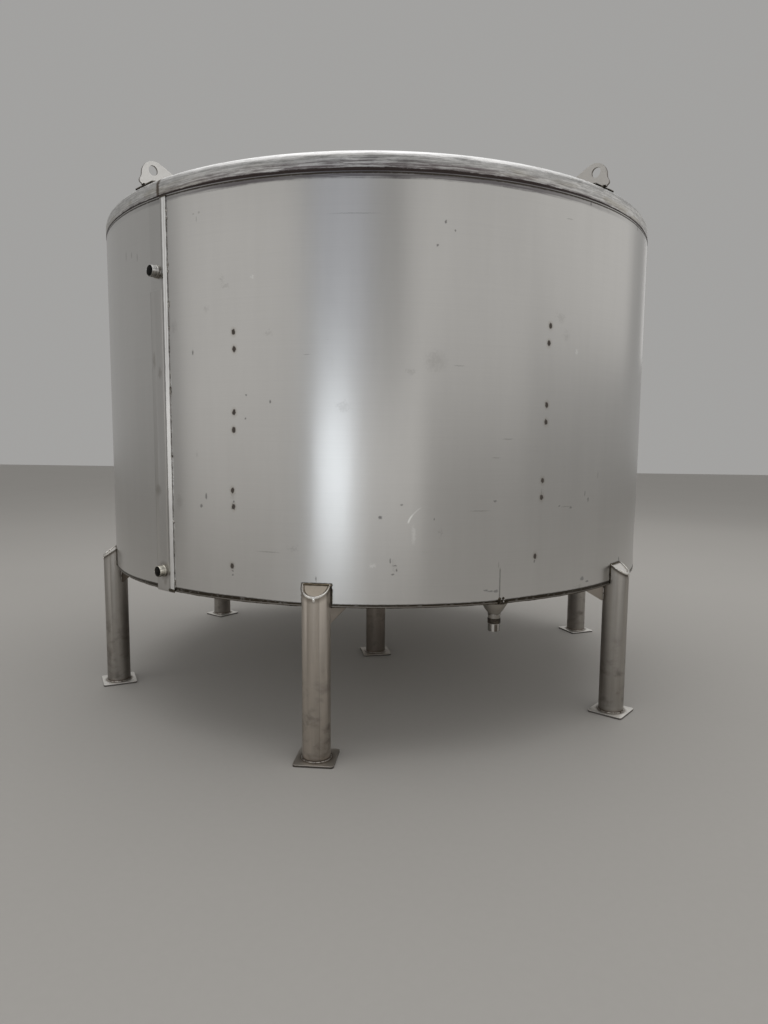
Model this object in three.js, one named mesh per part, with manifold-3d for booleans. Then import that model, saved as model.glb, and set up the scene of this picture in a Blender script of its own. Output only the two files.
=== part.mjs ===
// Vertical storage tank of stainless steel on seven tubular legs.
// Millimetres, +Z up, with the origin on the floor at the tank's axis.
// Angles are in degrees, anticlockwise from +X seen from above. The front leg stands on -Y.
import * as THREE from "three";
import { mergeVertices } from "three/addons/utils/BufferGeometryUtils.js";
import Module from "manifold-3d";

const wasm = await Module();
wasm.setup();

// Driving dimensions
const shellRadius = 1765; // outer face of the shell
const shellHeight = 2000; // one sheet width
const sheet = 4; // shell and roof sheet
const bottomTop = 767; // top of the bottom plate above the floor
const bottomThickness = 6;
const facets = 144; // flats round the shell
const gap = 0.35; // between pieces that are fitted round each other

const kneeRadius = 48; // rolled edge of the roof
const flangeHeight = 52; // straight flange under the rolled edge
const roofSlope = 8;

const ringLegs = 6;
const tubeRadius = 69.85;
const tubeWall = 4;
const tubeSides = 32;
const legRing = 1772; // axis of a ring leg from the tank's axis
const capTopHeight = 872; // top of a ring leg where it meets the shell
const capSlope = 35.6;
const capThickness = 5;
const capRecess = 4;

const footSize = 200;
const footThickness = 12;
const footCorner = 14;
const centreFootTurn = 18.7;
const footTurns = [3, -1, 0, 0, 0, 4]; // each foot plate was welded on by hand, a little turned

const gussetDepth = 103;
const gussetLength = 168;
const gussetToe = 12;
const gussetThickness = 8;
const gussetSides = [-35, 43, -60, -35, 43, -60]; // turned from the line to the tank's axis

const lugAngles = [-125.1, -38.4, 54.9, 141.6]; // two opposite pairs
const lugThickness = 12;
const eyeRadius = 27.5;
const eyeAt = [1688, 2953]; // distance from the axis and height
const lugInner = 1475; // inner end, where the sloping edge runs out
const lugEnd = 10; // height there
const lugEdge = [
  // cut edge from the outer foot over the head, as distance from the axis and height
  [1753, 2874],
  [1765, 2886],
  [1754, 2916],
  [1749, 2948],
  [1737, 2971],
  [1718, 2989],
  [1694, 2999],
  [1665, 3000],
  [1637, 2991],
  [1588, 2967],
];
const padLength = 184;
const padWidth = 290;
const padThickness = 7;
const padOuter = 1743;

const nozzleAngle = -120.3;
const nozzleHeights = { nozzle_upper: 2405, nozzle_lower: 862 };
const nozzleReach = 45; // mouth beyond the shell
const pipeRadius = 30.15;
const pipeBore = 26.25;
const pipeSides = 24;
const pipeInside = 8; // how far a nozzle reaches past the inner face of the shell

const seamAngle = -117.5; // right-hand edge of the lap
const lapWidth = 1.4; // degrees
const lapThickness = 5;
const stripWidth = 4.85; // degrees, ends at the seam
const stripThickness = 3;
const stripBottom = 752;
const stripTop = 2312;
const lapStop = 2; // the lap ends this far under the roof

const drainAngle = -60;
const drainRing = 1694;
const drainTopRadius = 69.85;
const drainLedge = 8; // of the bottom plate inside the drain's rim
const drainWall = 4;
const drainConeHeight = 68;
const drainPipeLength = 88;
const drainCollarTop = 671;
const drainCollarHeight = 31;
const drainCollarRadius = 33;

// Worked out from them
const bottomUnder = bottomTop - bottomThickness;
const shellTop = bottomTop + shellHeight;
const innerRadius = shellRadius - sheet;
const facetTurn = 360 / facets;
const radians = THREE.MathUtils.degToRad;

// Finishes
const steel = (color, roughness) =>
  new THREE.MeshStandardMaterial({ color, roughness, metalness: 1 });
const satin = steel(0xb4b3b2, 0.38); // rolled 2B sheet of the shell
const ground = steel(0xa3a3a2, 0.3); // ground roof edge
const brushed = steel(0x9a9490, 0.35); // leg tube
const plate = steel(0xa5a19c, 0.45); // cut plate
const bright = steel(0xcfcdc8, 0.22); // machined pipe ends
const tinted = steel(0x3c3a35, 0.5); // heat-darkened collar

const tank = new THREE.Group();

function add(name, geometry, material, parent = tank) {
  const mesh = new THREE.Mesh(geometry, material);
  mesh.name = name;
  parent.add(mesh);
  return mesh;
}

// A closed geometry as a solid that can be joined and cut.
function solid(geometry) {
  const bare = geometry.clone();
  bare.deleteAttribute("normal");
  bare.deleteAttribute("uv");
  const merged = mergeVertices(bare, 1e-3);
  return new wasm.Manifold(
    new wasm.Mesh({
      numProp: 3,
      vertProperties: merged.attributes.position.array,
      triVerts: new Uint32Array(merged.index.array),
    }),
  );
}

function shapeOf(made) {
  const mesh = made.getMesh();
  const geometry = new THREE.BufferGeometry();
  geometry.setAttribute("position", new THREE.BufferAttribute(mesh.vertProperties, 3));
  geometry.setIndex(new THREE.BufferAttribute(mesh.triVerts, 1));
  return geometry.toNonIndexed();
}

// A flat outline of [x, y] points, extruded upwards from a height.
function slab(points, bottom, top) {
  const outline = new THREE.Shape(points.map(([x, y]) => new THREE.Vector2(x, y)));
  const geometry = new THREE.ExtrudeGeometry(outline, { depth: top - bottom, bevelEnabled: false });
  return geometry.translate(0, 0, bottom);
}

function polar(radius, angle) {
  return [radius * Math.cos(radians(angle)), radius * Math.sin(radians(angle))];
}

// A curved sheet between two angles, on the shell's own flats.
function curvedSheet(inner, outer, from, to, bottom, top) {
  const angles = [from];
  for (let k = Math.ceil(from / facetTurn + 0.01); k * facetTurn < to - 0.01; k++) angles.push(k * facetTurn);
  angles.push(to);
  const outside = angles.map((angle) => polar(outer, angle));
  const inside = angles.map((angle) => polar(inner, angle)).reverse();
  return slab([...outside, ...inside], bottom, top);
}

// A solid of revolution about Z from [radius, height] points, with its first flat starting on +X.
function turned(profile, sides) {
  const points = profile.map(([radius, height]) => new THREE.Vector2(radius, height));
  const lathe = new THREE.LatheGeometry(points, sides, Math.PI / 2);
  return lathe.rotateX(Math.PI / 2);
}

function tube(outer, inner, bottom, top, sides) {
  const profile = [[outer, bottom], [outer, top], [inner, top], [inner, bottom], [outer, bottom]];
  return turned(profile, sides);
}

function rod(radius, bottom, top, sides) {
  return turned([[0, bottom], [radius, bottom], [radius, top], [0, top]], sides);
}

// Shell: a narrow strip of four panels that carries the nozzles, and six wide sheets
const panelTurn = 6;
const panelHeight = 190; // of the two panels with a nozzle
const panelFrom = nozzleAngle - panelTurn / 2;
const wideSheets = 6;
const wideTurn = (360 - panelTurn) / wideSheets;
const sheetGap = THREE.MathUtils.radToDeg(gap / shellRadius) / 2;

function shellSheet(from, turn, bottom, top) {
  return curvedSheet(innerRadius, shellRadius, from + sheetGap, from + turn - sheetGap, bottom, top);
}

// A pipe or bar along the radial line of the nozzles, at a height.
function radialBar(geometry, height) {
  const bar = geometry.clone().rotateY(Math.PI / 2);
  return bar.rotateZ(radians(nozzleAngle)).translate(0, 0, height);
}

function nozzleCuts(made) {
  const reach = 60; // past the wall on both sides
  const cutter = rod(pipeRadius + gap, shellRadius - reach, shellRadius + reach, pipeSides);
  const heights = Object.values(nozzleHeights);
  return heights.reduce((left, height) => left.subtract(solid(radialBar(cutter, height))), made);
}

function buildShell() {
  const half = panelHeight / 2;
  const lower = nozzleHeights.nozzle_lower;
  const upper = nozzleHeights.nozzle_upper;
  const panels = {
    shell_panel_lower: [bottomTop, lower + half],
    shell_panel_middle: [lower + half, upper - half],
    shell_panel_upper: [upper - half, upper + half],
    shell_panel_top: [upper + half, shellTop],
  };
  for (const [name, [bottom, top]] of Object.entries(panels)) {
    const panel = solid(shellSheet(panelFrom, panelTurn, bottom, top));
    add(name, shapeOf(nozzleCuts(panel)), satin);
  }
  for (let k = 0; k < wideSheets; k++) {
    const from = panelFrom + panelTurn + k * wideTurn;
    add("shell_sheet_" + (k + 1), shellSheet(from, wideTurn, bottomTop, shellTop), satin);
  }
}

function buildSeam() {
  const face = shellRadius + gap;
  const lapTop = shellTop - lapStop;
  const lapFrom = seamAngle - lapWidth;
  add("seam_lap", curvedSheet(face, face + lapThickness, lapFrom, seamAngle, stripBottom, lapTop), bright);
  const stripTo = seamAngle - lapWidth - sheetGap * 2;
  const strip = curvedSheet(face, face + stripThickness, seamAngle - stripWidth, stripTo, stripBottom, stripTop);
  add("cover_strip", shapeOf(nozzleCuts(solid(strip))), satin);
}

// Roof: a rolled rim with its straight flange, and a shallow cone of the same sheet inside it
const kneeCentre = [shellRadius - kneeRadius, shellTop + flangeHeight];
const kneeSteps = 6;
const slope = radians(roofSlope);

function rimProfile(inset) {
  const knee = kneeRadius - inset;
  const points = [[shellRadius - inset, shellTop]];
  for (let k = 0; k <= kneeSteps; k++) {
    const turn = ((Math.PI / 2 - slope) * k) / kneeSteps;
    points.push([kneeCentre[0] + knee * Math.cos(turn), kneeCentre[1] + knee * Math.sin(turn)]);
  }
  return points;
}

function coneProfile(inset) {
  const [edge, height] = rimProfile(inset).pop();
  const start = edge - gap;
  return [[start, height + gap * Math.tan(slope)], [0, height + edge * Math.tan(slope)]];
}

function buildRoof() {
  add("roof_rim", turned(closedRing(rimProfile(sheet).reverse(), rimProfile(0)), facets), ground);
  add("roof_cone", turned([...coneProfile(sheet).reverse(), ...coneProfile(0)], facets), satin);
}

// Two open profiles, end to end, as one closed ring section.
function closedRing(inside, outside) {
  return [...inside, ...outside, inside[0]];
}

function roofHeight(radius) {
  const edge = kneeCentre[0] + kneeRadius * Math.sin(slope);
  const edgeHeight = kneeCentre[1] + kneeRadius * Math.cos(slope);
  return edgeHeight + (edge - radius) * Math.tan(slope);
}

function buildBottom() {
  const disc = solid(rod(shellRadius, bottomUnder, bottomTop, facets));
  const hole = rod(drainTopRadius - drainLedge, bottomUnder - 1, bottomTop + 1, pipeSides);
  hole.translate(...polar(drainRing, drainAngle), 0);
  add("bottom_plate", shapeOf(disc.subtract(solid(hole))), plate);
}

// Ring legs: the tube is cut to sit under the bottom plate and round the shell, and mitred outside it
function tankEnvelope() {
  return solid(rod(shellRadius + gap, bottomUnder, shellTop, facets));
}

// A slope across a ring leg that stands on +X: all above it, from a depth under the mitre to a height over it.
function aboveMitre(under, over) {
  const reach = 200;
  const rise = reach * Math.tan(radians(capSlope));
  const profile = [
    [shellRadius - reach, capTopHeight + rise - under],
    [shellRadius + reach, capTopHeight - rise - under],
    [shellRadius + reach, capTopHeight - rise + over],
    [shellRadius - reach, capTopHeight + rise + over],
  ];
  const outline = new THREE.Shape(profile.map(([x, z]) => new THREE.Vector2(x, z)));
  const wedge = new THREE.ExtrudeGeometry(outline, { depth: reach, bevelEnabled: false });
  return solid(wedge.rotateX(Math.PI / 2).translate(0, reach / 2, 0));
}

function buildRingLegs() {
  const tall = capTopHeight + 60; // cut back to the mitre
  const offcut = 400;
  const stock = tube(tubeRadius, tubeRadius - tubeWall, footThickness, tall, tubeSides);
  const bore = rod(tubeRadius - tubeWall - gap, bottomUnder, tall, tubeSides);
  const tubeStock = solid(stock.translate(legRing, 0, 0));
  const boreStock = solid(bore.translate(legRing, 0, 0));
  const around = tankEnvelope();
  for (let k = 0; k < ringLegs; k++) {
    const turn = -90 + (k * 360) / ringLegs;
    const leg = tubeStock.subtract(around).subtract(aboveMitre(0, offcut));
    const cap = boreStock.intersect(aboveMitre(capRecess + capThickness, -capRecess)).subtract(around);
    const stand = new THREE.Group();
    stand.rotation.z = radians(turn);
    tank.add(stand);
    add("leg_" + (k + 1), shapeOf(leg), brushed, stand);
    add("leg_cap_" + (k + 1), shapeOf(cap), plate, stand);
    add("foot_plate_" + (k + 1), footPlate(footTurns[k]).translate(legRing, 0, 0), plate, stand);
    add("gusset_" + (k + 1), gusset(gussetSides[k]).translate(legRing, 0, 0), plate, stand);
  }
}

function buildCentreLeg() {
  add("leg_centre", tube(tubeRadius, tubeRadius - tubeWall, footThickness, bottomUnder, tubeSides), brushed);
  add("foot_plate_centre", footPlate(centreFootTurn), plate);
}

function footPlate(turn) {
  const half = footSize / 2;
  const inner = half - footCorner;
  const outline = new THREE.Shape();
  outline.moveTo(half, -inner);
  const corners = [[inner, inner, 0], [-inner, inner, 90], [-inner, -inner, 180], [inner, -inner, 270]];
  for (const [x, y, start] of corners) outline.absarc(x, y, footCorner, radians(start), radians(start + 90));
  const made = new THREE.ExtrudeGeometry(outline, { depth: footThickness, bevelEnabled: false, curveSegments: 3 });
  return made.rotateZ(radians(turn));
}

// An upright triangle from the tube's wall inwards under the bottom plate, turned from the line to the tank's axis.
function gusset(turn) {
  const start = tubeRadius + gap;
  const end = start + gussetLength;
  const points = [
    [start, bottomUnder],
    [start, bottomUnder - gussetDepth],
    [start + gussetToe, bottomUnder - gussetDepth],
    [end, bottomUnder - gussetToe],
    [end, bottomUnder],
  ];
  const outline = new THREE.Shape(points.map(([x, z]) => new THREE.Vector2(x, z)));
  const made = new THREE.ExtrudeGeometry(outline, { depth: gussetThickness, bevelEnabled: false });
  made.rotateX(Math.PI / 2).translate(0, gussetThickness / 2, 0);
  return made.rotateZ(radians(180 + turn));
}

// Lifting lugs: upright plates along the radius, round over the eye, sloping down to the roof on the inner side
function lugShape() {
  const seat = (radius) => roofHeight(radius) + padThickness / Math.cos(slope) + 2 * gap;
  const foot = lugEdge[0][0];
  const outline = new THREE.Shape();
  outline.moveTo(lugInner, seat(lugInner));
  outline.lineTo(foot, seat(foot));
  outline.splineThru(lugEdge.map(([radius, height]) => new THREE.Vector2(radius, height)));
  outline.lineTo(lugInner, seat(lugInner) + lugEnd);
  return outline;
}

function buildLugs() {
  const [eye, height] = eyeAt;
  const body = new THREE.ExtrudeGeometry(lugShape(), { depth: lugThickness, bevelEnabled: false, curveSegments: 2 });
  body.rotateX(Math.PI / 2).translate(0, lugThickness / 2, 0);
  const drill = rod(eyeRadius, -lugThickness, lugThickness, pipeSides);
  drill.rotateX(Math.PI / 2).translate(eye, 0, height);
  const lug = shapeOf(solid(body).subtract(solid(drill)));
  for (const [k, angle] of lugAngles.entries()) {
    const stand = new THREE.Group();
    stand.rotation.z = radians(angle);
    tank.add(stand);
    add("lifting_lug_" + (k + 1), lug.clone(), plate, stand);
    add("lug_pad_" + (k + 1), padPlate(), plate, stand);
  }
}

function padPlate() {
  const inner = padOuter - padWidth;
  const points = [
    [inner, roofHeight(inner) + gap],
    [padOuter, roofHeight(padOuter) + gap],
    [padOuter, roofHeight(padOuter) + gap + padThickness],
    [inner, roofHeight(inner) + gap + padThickness],
  ];
  const outline = new THREE.Shape(points.map(([x, z]) => new THREE.Vector2(x, z)));
  const made = new THREE.ExtrudeGeometry(outline, { depth: padLength, bevelEnabled: false });
  return made.rotateX(Math.PI / 2).translate(0, padLength / 2, 0);
}

function buildNozzles() {
  const pipe = tube(pipeRadius, pipeBore, innerRadius - pipeInside, shellRadius + nozzleReach, pipeSides);
  for (const [name, height] of Object.entries(nozzleHeights)) add(name, radialBar(pipe, height), bright);
}

function buildDrain() {
  const coneFoot = bottomUnder - drainConeHeight;
  const pipeFoot = coneFoot - drainPipeLength;
  const stand = new THREE.Group();
  stand.position.set(...polar(drainRing, drainAngle), 0);
  tank.add(stand);
  const cone = [
    [drainTopRadius, bottomUnder],
    [drainTopRadius - drainWall, bottomUnder],
    [pipeBore, coneFoot + drainWall],
    [pipeBore, coneFoot],
    [pipeRadius, coneFoot],
    [drainTopRadius, bottomUnder],
  ];
  add("drain_cone", turned(cone, 32), satin, stand);
  add("drain_pipe", tube(pipeRadius, pipeBore, pipeFoot, coneFoot, pipeSides), bright, stand);
  const collarFoot = drainCollarTop - drainCollarHeight;
  const collar = tube(drainCollarRadius, pipeRadius + gap, collarFoot, drainCollarTop, pipeSides);
  add("drain_collar", collar, tinted, stand);
}

buildShell();
buildSeam();
buildRoof();
buildBottom();
buildRingLegs();
buildCentreLeg();
buildLugs();
buildNozzles();
buildDrain();

export default tank;
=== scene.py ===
# Stainless steel storage tank on seven legs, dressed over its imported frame.
# Metres, +Z up, the floor at 0 and the tank's axis at the origin. Turns are degrees anticlockwise from +X.
import random
from math import atan2, cos, degrees, pi, radians, sin, tan
import bmesh
import bpy
from mathutils import Matrix, Vector


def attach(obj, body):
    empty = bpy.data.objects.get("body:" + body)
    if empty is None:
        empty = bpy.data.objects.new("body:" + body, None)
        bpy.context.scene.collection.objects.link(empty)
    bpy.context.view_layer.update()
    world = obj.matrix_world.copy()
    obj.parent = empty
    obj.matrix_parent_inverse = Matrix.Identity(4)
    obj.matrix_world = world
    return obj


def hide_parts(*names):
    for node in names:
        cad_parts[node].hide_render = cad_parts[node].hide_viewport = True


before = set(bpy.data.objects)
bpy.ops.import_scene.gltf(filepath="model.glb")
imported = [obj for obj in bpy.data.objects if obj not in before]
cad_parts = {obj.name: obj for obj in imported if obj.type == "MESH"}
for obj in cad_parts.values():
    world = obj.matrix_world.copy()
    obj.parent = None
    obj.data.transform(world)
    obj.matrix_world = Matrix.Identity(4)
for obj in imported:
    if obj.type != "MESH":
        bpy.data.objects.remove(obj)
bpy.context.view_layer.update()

tank = {  # sizes and places that several pieces and finishes share
    "radius": 1.7635,
    "rimRadius": 1.765,
    "bottom": 0.767,
    "top": 2.767,
    "under": 0.761,
    "legRing": 1.772,  # from the tank's axis to a ring leg's
    "legRadius": 0.06985,
    "legTop": 0.872,  # where a ring leg's sloping top meets the shell
    "legSlope": 35.6,
    "weldSide": 0.0712,  # from the middle of a leg to the weld on the shell beside it
    "lapTurns": (-118.9, -117.5),
    "coverTurns": (-122.35, -118.93),
    "pipeTurn": -120.3,
    "pipeHeights": {"Upper": 2.405, "Lower": 0.862},
    "lugTurns": (-125.1, -38.4, 54.9, 141.6),
    "drain": (1.694, -60.0),  # distance from the axis, and turn
}


def clearSelection():
    if bpy.context.object and bpy.context.object.mode != "OBJECT":
        bpy.ops.object.mode_set(mode="OBJECT")
    bpy.ops.object.select_all(action="DESELECT")


def take(piece):  # as the one selected and active piece
    clearSelection()
    piece.select_set(True)
    bpy.context.view_layer.objects.active = piece


def settle(piece):  # its place goes into its mesh
    take(piece)
    bpy.ops.object.transform_apply(location=True, rotation=True, scale=True)
    return piece


def moveTo(piece, place=(0, 0, 0), turns=(0, 0, 0)):
    piece.location = place
    piece.rotation_euler = [radians(turn) for turn in turns]
    return settle(piece)


def openUp(piece, action="DESELECT"):
    take(piece)
    bpy.ops.object.mode_set(mode="EDIT")
    bpy.ops.mesh.select_all(action=action)


def closeUp():
    bpy.ops.object.mode_set(mode="OBJECT")


def pick(kind, test):  # verts or edges of the open piece, by a test
    bpy.ops.mesh.select_mode(type={"verts": "VERT", "edges": "EDGE"}[kind])
    bpy.ops.mesh.select_all(action="DESELECT")
    mesh = bmesh.from_edit_mesh(bpy.context.object.data)
    for part in getattr(mesh, kind):
        if test(part):
            part.select_set(True)
    bmesh.update_edit_mesh(bpy.context.object.data)


def pickUprights(rise):  # edges of the open piece that rise by more than this
    pick("edges", lambda e: abs(e.verts[0].co.z - e.verts[1].co.z) > rise)


def facesOut(piece):
    openUp(piece, "SELECT")
    bpy.ops.mesh.remove_doubles(threshold=0.00002)
    bpy.ops.mesh.normals_make_consistent(inside=False)
    closeUp()


def modify(piece, kind, **settings):
    take(piece)
    added = piece.modifiers.new(kind.title(), kind)
    for key, value in settings.items():
        setattr(added, key, value)
    bpy.ops.object.modifier_apply(modifier=added.name)


def thicken(piece, wall):  # inwards
    modify(piece, "SOLIDIFY", thickness=wall, offset=-1)


def breakEdges(piece, width, segments=2, sharper=50):
    modify(piece, "BEVEL", width=width, segments=segments, limit_method="ANGLE", angle_limit=radians(sharper))


def cutAway(piece, cutter):
    modify(piece, "BOOLEAN", operation="DIFFERENCE", object=cutter, solver="EXACT")
    scrap(cutter)


def trim(piece, place, away):  # cuts off what lies beyond a plane, and closes the cut
    openUp(piece, "SELECT")
    bpy.ops.mesh.bisect(plane_co=place, plane_no=away, use_fill=True, clear_outer=True)
    closeUp()
    facesOut(piece)


def smooth(piece, angle=35):
    take(piece)
    bpy.ops.object.shade_smooth_by_angle(angle=radians(angle))


def another(piece, turn=0, shift=(0, 0, 0), ownTurn=0):
    made = piece.copy()  # with its own mesh, turned on the spot, shifted, then turned about the tank's axis
    made.data = piece.data.copy()
    bpy.context.collection.objects.link(made)
    moveTo(made, shift, (0, 0, ownTurn))
    return moveTo(made, turns=(0, 0, turn))


def scrap(*made):
    for piece in made:
        bpy.data.objects.remove(piece)


def together(pieces):
    clearSelection()
    for piece in pieces:
        piece.select_set(True)
    bpy.context.view_layer.objects.active = pieces[0]
    bpy.ops.object.join()
    return pieces[0]


def dress(piece, finish):
    piece.data.materials.clear()
    piece.data.materials.append(finishes[finish].material)


def finishPiece(piece, name, finish, slot, *nodes):
    piece.name = name
    dress(piece, finish)
    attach(piece, "root")
    if nodes:
        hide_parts(*nodes)


def finishCopies(source, name, finish, slot, turns, node=None, shift=(0, 0, 0), ownTurns=None, odd=None):
    for k, turn in enumerate(turns):  # odd gives the finish of a copy that is unlike the others
        made = another(source, turn, shift, ownTurns[k] if ownTurns else 0)
        nodes = ["%s_%d" % (node, k + 1)] if node else []
        finishPiece(made, "%s%d" % (name, k + 1), (odd or {}).get(k, finish), slot, *nodes)
    scrap(source)


def polar(radius, turn, height=0.0):
    return Vector((radius * cos(radians(turn)), radius * sin(radians(turn)), height))


def circle(radius, height, count, x=0.0, y=0.0):
    turns = [2 * pi * k / count for k in range(count)]
    return [(x + radius * cos(turn), y + radius * sin(turn), height) for turn in turns]


def mitreHeight(x):  # of the sloping top of a ring leg that stands on +X
    return tank["legTop"] - (x - tank["rimRadius"]) * tan(radians(tank["legSlope"]))


def addTube(radius, bottom, top, sides=64, at=(0, 0), ends="NOTHING"):
    clearSelection()
    bpy.ops.mesh.primitive_cylinder_add(
        vertices=sides, radius=radius, depth=top - bottom, end_fill_type=ends,
        location=(*at, (bottom + top) / 2))
    return settle(bpy.context.object)


def turnedPiece(profile, sides=64):  # a circle drawn on from point to point of a profile
    radius, height = profile[0]
    clearSelection()
    bpy.ops.mesh.primitive_circle_add(vertices=sides, radius=radius, location=(0, 0, height))
    piece = settle(bpy.context.object)
    openUp(piece, "SELECT")
    for wide, high in profile[1:]:
        bpy.ops.mesh.extrude_region_move(TRANSFORM_OT_translate={"value": (0, 0, high - height)})
        if wide == 0:
            bpy.ops.mesh.merge(type="CENTER")
            break
        bpy.ops.transform.resize(value=(wide / radius, wide / radius, 1), center_override=(0, 0, high))
        radius, height = wide, high
    closeUp()
    facesOut(piece)
    return piece


def spunBar(inner, outer, fromTurn, toTurn, bottom, top, steps):  # an upright rectangle spun about the axis
    clearSelection()
    bpy.ops.mesh.primitive_plane_add(size=1, rotation=(pi / 2, 0, 0))
    piece = bpy.context.object
    piece.scale = (outer - inner, top - bottom, 1)
    piece.location = ((inner + outer) / 2, 0, (bottom + top) / 2)
    settle(piece)
    moveTo(piece, turns=(0, 0, fromTurn))
    openUp(piece, "SELECT")
    bpy.ops.mesh.spin(
        steps=steps, angle=radians(fromTurn - toTurn), center=(0, 0, 0), axis=(0, 0, 1),
        use_auto_merge=False)  # with no window, spin turns the other way
    closeUp()
    facesOut(piece)
    return piece


def addBlock(size, place=(0, 0, 0)):
    clearSelection()
    bpy.ops.mesh.primitive_cube_add(size=1, location=place)
    piece = bpy.context.object
    piece.scale = size
    return settle(piece)


def addPlate(size, edge, corner, segments=5):  # flat, with round corners and broken edges
    piece = addBlock(size)
    openUp(piece)
    pickUprights(size[2] / 2)
    bpy.ops.mesh.bevel(offset=corner, segments=segments, affect="EDGES")
    closeUp()
    breakEdges(piece, edge)
    return piece


def fromCurve(curve):  # its mesh as a piece
    piece = bpy.data.objects.new(curve.name, curve)
    bpy.context.collection.objects.link(piece)
    take(piece)
    bpy.ops.object.convert(target="MESH")
    return piece


def evenStops(path, pitch):  # points along a path, two for each ripple
    lengths = [(b - a).length for a, b in zip(path, path[1:])]
    total = sum(lengths)
    count = max(4, int(total / pitch * 2))
    stops = []
    step, passed = 0, 0.0
    for k in range(count + 1):
        goal = total * k / count
        while step < len(lengths) - 1 and passed + lengths[step] < goal:
            passed += lengths[step]
            step += 1
        stops.append(path[step].lerp(path[step + 1], (goal - passed) / lengths[step]))
    return stops


def layWeld(points, size, pitch, seed, closed=False, uneven=0.3, ends=1.0):  # a rippled bead on a path
    dice = random.Random(seed)
    path = [Vector(point) for point in points]
    stops = evenStops(path + path[:1] if closed else path, pitch)
    count = len(stops) - 1
    if closed:
        stops.pop()
    curve = bpy.data.curves.new("weld", "CURVE")
    curve.dimensions = "3D"
    curve.bevel_depth = size
    curve.bevel_resolution = 1
    curve.use_fill_caps = not closed
    spline = curve.splines.new("POLY")
    spline.points.add(len(stops) - 1)
    spline.use_cyclic_u = closed
    drift = 0.0
    for k, (point, place) in enumerate(zip(spline.points, stops)):
        drift = 0.85 * drift + dice.uniform(-uneven, uneven) * 0.4
        point.co = (*place, 1)
        swell = ends + (1 - ends) * sin(pi * k / count) ** 2  # thinner towards its ends
        point.radius = ((1.0 if k % 2 else 0.84) + drift) * swell
    piece = fromCurve(curve)
    smooth(piece, 60)
    return piece


def weldLump(place, size, seed):  # one set drop of weld metal, lumpy and a little flattened
    clearSelection()
    bpy.ops.mesh.primitive_ico_sphere_add(subdivisions=2, radius=1)
    piece = bpy.context.object
    piece.scale = size
    settle(piece)
    openUp(piece, "SELECT")
    bpy.ops.transform.vertex_random(offset=min(size) * 0.22, seed=seed)
    closeUp()
    modify(piece, "SUBSURF", levels=1, render_levels=1)
    moveTo(piece, place, (0, 0, degrees(atan2(place[1], place[0]))))
    smooth(piece, 80)
    return piece


def operator(operation, swapped=False):  # a Math node, swapped for the reflected form
    def run(self, other=0.0):
        pair = (other, self) if swapped else (self, other)
        return self.finish.reckon(operation, *pair)
    return run


class Wire:  # a socket that can be reckoned with
    def __init__(self, finish, socket):
        self.finish = finish
        self.socket = socket

    __add__ = __radd__ = operator("ADD")
    __sub__ = operator("SUBTRACT")
    __rsub__ = operator("SUBTRACT", True)
    __mul__ = __rmul__ = operator("MULTIPLY")
    __pow__ = operator("POWER")
    __mod__ = operator("MODULO")
    __abs__ = operator("ABSOLUTE")
    least = operator("MINIMUM")
    most = operator("MAXIMUM")

    def wander(self, width):  # a pattern spread about zero
        return (self - 0.5) * width

    def ease(self, low, high):  # 0 at low to 1 at high, softly
        return self.finish.node(
            "MapRange", {"interpolation_type": "SMOOTHSTEP"},
            {"Value": self, "From Min": low, "From Max": high})


class Finish:
    def __init__(self, name):
        self.material = bpy.data.materials.new(name)
        self.material.use_nodes = True
        self.tree = self.material.node_tree
        self.tree.nodes.clear()
        self.place = self.node("TexCoord", output="Object")
        parts = self.node("SeparateXYZ", inputs={0: self.place}).socket.node
        self.x, self.y, self.z = (Wire(self, socket) for socket in parts.outputs)

    def node(self, kind, settings=None, inputs=None, output=0):
        made = self.tree.nodes.new("ShaderNode" + kind)
        for key, value in (settings or {}).items():
            if key == "stops":
                self.setStops(made.color_ramp, value)
            else:
                setattr(made, key, value)
        for key, value in (inputs or {}).items():
            if isinstance(value, Wire):
                self.tree.links.new(value.socket, made.inputs[key])
            else:
                made.inputs[key].default_value = value
        return Wire(self, made.outputs[output])

    def setStops(self, ramp, stops):
        for (place, colour), element in zip(stops, ramp.elements):
            element.position, element.color = place, (*colour, 1)
        for place, colour in stops[len(ramp.elements):]:
            ramp.elements.new(place).color = (*colour, 1)

    def reckon(self, operation, *values):
        return self.node("Math", {"operation": operation}, dict(enumerate(values)))

    def noise(self, scale, stretch=(1, 1, 1), detail=3, rough=0.5, bend=0.0, shift=(0, 0, 0), place=None):
        place = place or self.place
        spread = self.node("Mapping", inputs={"Vector": place, "Scale": stretch, "Location": shift})
        return self.node("TexNoise", inputs={
            "Vector": spread, "Scale": scale, "Detail": detail, "Roughness": rough, "Distortion": bend})

    def shade(self, colour, amount):  # a colour times a number
        return self.node("VectorMath", {"operation": "SCALE"}, {0: colour, "Scale": amount})

    def paint(self, colour, *coats):  # each coat is a mask and the colour that it lays on
        for mask, over in coats:
            inputs = {0: mask}
            for key, value in {6: colour, 7: over}.items():
                inputs[key] = value if isinstance(value, Wire) else (*value, 1)
            colour = self.node("Mix", {"data_type": "RGBA"}, inputs, output=2)
        return colour

    def close(self, colour, roughness, relief, metallic=1.0, grain=0.0, grainTurn=0.0):
        bump = self.node("Bump", inputs=dict(zip(("Height", "Distance", "Strength"), relief)))
        surface = self.node("BsdfPrincipled", inputs={
            "Base Color": colour, "Metallic": metallic, "Roughness": roughness, "Normal": bump,
            "Anisotropic": grain, "Anisotropic Rotation": grainTurn})
        output = self.tree.nodes.new("ShaderNodeOutputMaterial")
        self.tree.links.new(surface.socket, output.inputs["Surface"])
        return self


def along(turn):  # metres round the shell from +X
    return radians(turn) * tank["radius"]


def roundTank(finish):
    return finish.reckon("ARCTAN2", finish.y, finish.x) * tank["radius"]


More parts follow.
